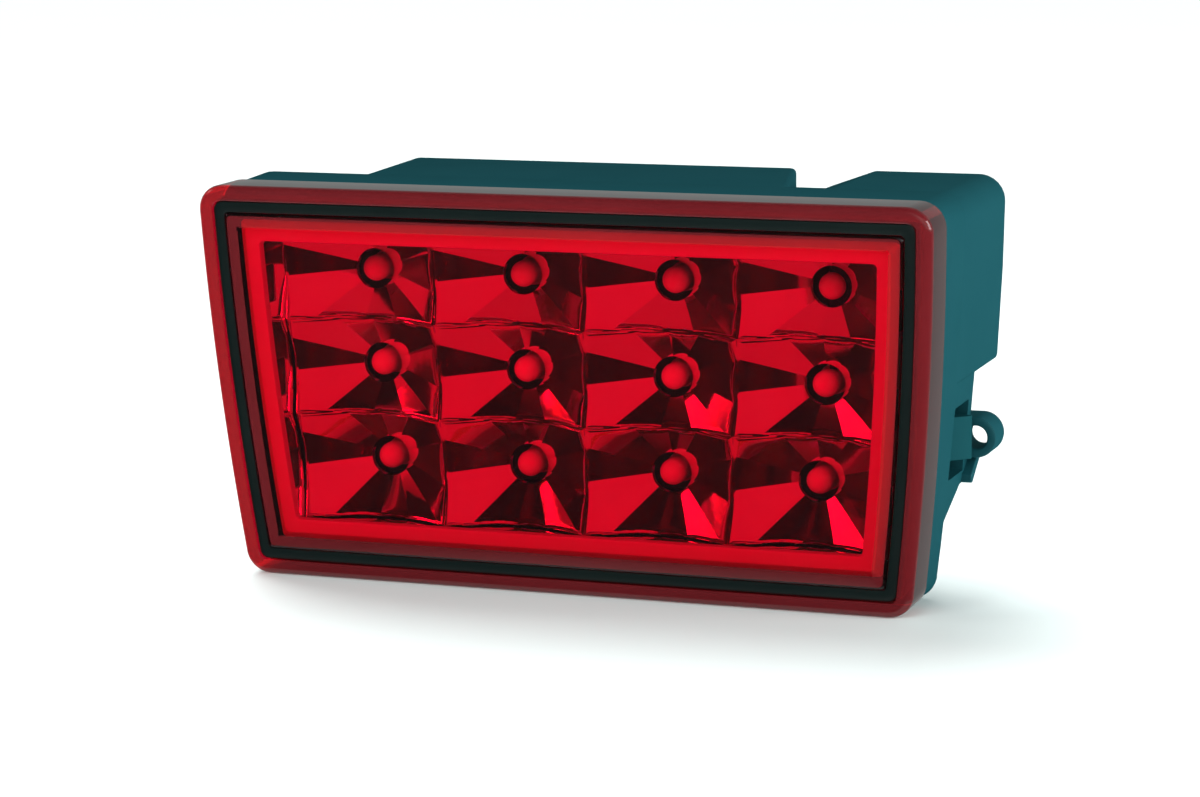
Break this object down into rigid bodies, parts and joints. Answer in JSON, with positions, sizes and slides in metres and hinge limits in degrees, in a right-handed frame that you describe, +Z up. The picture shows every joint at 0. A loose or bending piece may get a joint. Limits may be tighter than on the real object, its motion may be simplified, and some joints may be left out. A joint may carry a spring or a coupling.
{
  "type": "bumper rear lamp",
  "caption": "Trapezoidal red rear lamp with bowl reflector, round LEDs, black bumper housing, mounting ears and sprung side catches.",
  "frame": {"origin": "midway between the two mounting ear holes, on the ears' rear faces", "axes": "+Z up, +X to the right of the lens seen from outside, +Y from the lens towards the vehicle, along the mounting screws"},
  "size_m": [0.1468, 0.0572, 0.0756],
  "materials": {
    "red_lens": "clear transmissive red, polished",
    "trim_black": "matte black",
    "sealant": "matte",
    "housing_black": "fine moulded texture",
    "reflector_bright": "vacuum metallised",
    "fastener_steel": "zinc plated",
    "board_green": "solder mask",
    "led_epoxy": "tinted clear epoxy",
    "resistor_black": "matte",
    "component_black": "moulded epoxy",
    "capacitor_can": "drawn can",
    "terminal_tin": "tin plated",
    "socket_grey": "moulded",
    "seal_rubber": "silicone",
    "breather_grey": "moulded",
    "membrane_white": "expanded membrane",
    "catch_black": "moulded",
    "pin_steel": "ground",
    "spring_steel": "drawn wire"
  },
  "bodies": {
    "lamp": {"lens": "red_lens", "lens_trim_ring": "trim_black", "perimeter_seal": "sealant", "housing": "housing_black", "reflector": "reflector_bright", "reflector_screws": "fastener_steel", "circuit_board": "board_green", "board_screws": "fastener_steel", "led_r1c1": "led_epoxy", "led_r1c2": "led_epoxy", "led_r1c3": "led_epoxy", "led_r1c4": "led_epoxy", "led_r2c1": "led_epoxy", "led_r2c2": "led_epoxy", "led_r2c3": "led_epoxy", "led_r2c4": "led_epoxy", "led_r3c1": "led_epoxy", "led_r3c2": "led_epoxy", "led_r3c3": "led_epoxy", "led_r3c4": "led_epoxy", "series_resistors": "resistor_black", "input_diodes": "component_black", "flasher_chip": "component_black", "voltage_regulator": "component_black", "smoothing_capacitor": "capacitor_can", "terminal_pins": "terminal_tin", "connector_socket": "socket_grey", "socket_seal": "seal_rubber", "socket_screws": "fastener_steel", "breather_cap": "breather_grey", "breather_membrane": "membrane_white", "catch_pins": "pin_steel", "catch_springs": "spring_steel"},
    "catch_right": {"catch_right": "catch_black"},
    "catch_left": {"catch_left": "catch_black"}
  },
  "joints": [
    {"name": "catch_right_flex", "type": "hinge", "parent": "lamp", "child": "catch_right", "pos_m": [0.0652, -0.0165, 0.0006], "axis": [0, 0, 1], "range_deg": [0, 9], "stiffness_Nm_per_rad": 0.02, "springref_deg": -2.86},
    {"name": "catch_left_flex", "type": "hinge", "parent": "lamp", "child": "catch_left", "pos_m": [-0.0652, -0.0165, 0.0006], "axis": [0, 0, 1], "range_deg": [-9, 0], "stiffness_Nm_per_rad": 0.02, "springref_deg": 2.86}
  ]
}
